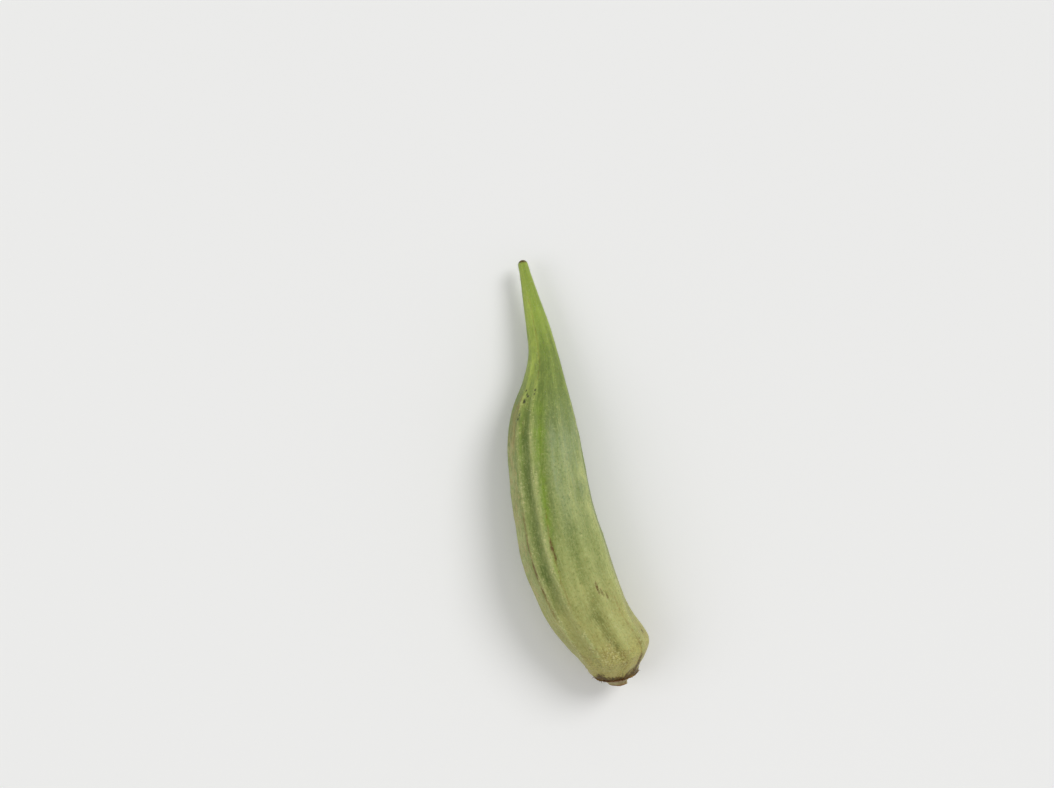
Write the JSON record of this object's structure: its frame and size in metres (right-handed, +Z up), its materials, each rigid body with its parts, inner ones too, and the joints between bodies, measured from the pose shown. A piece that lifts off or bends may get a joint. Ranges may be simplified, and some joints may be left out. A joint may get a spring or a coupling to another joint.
{
  "type": "okra pod",
  "caption": "Whole fresh okra pod lying on its side: a bowed, ribbed green seed pod with a long thin tip, a scarred ring and the pale cap and cut stem at its blunt end.",
  "frame": {"origin": "On the surface that the pod lies on, under the middle of its bounding box.", "axes": "+Y runs from the stem end to the tip, +X is to the right seen from above with the tip pointing away, +Z is up. The pod bows towards -X."},
  "size_m": [0.0299, 0.1218, 0.0234],
  "materials": {
    "pod_skin": "satin",
    "stem": "matte"
  },
  "bodies": {
    "root": {"pod": "pod_skin", "stem_cap": "stem"}
  },
  "joints": []
}
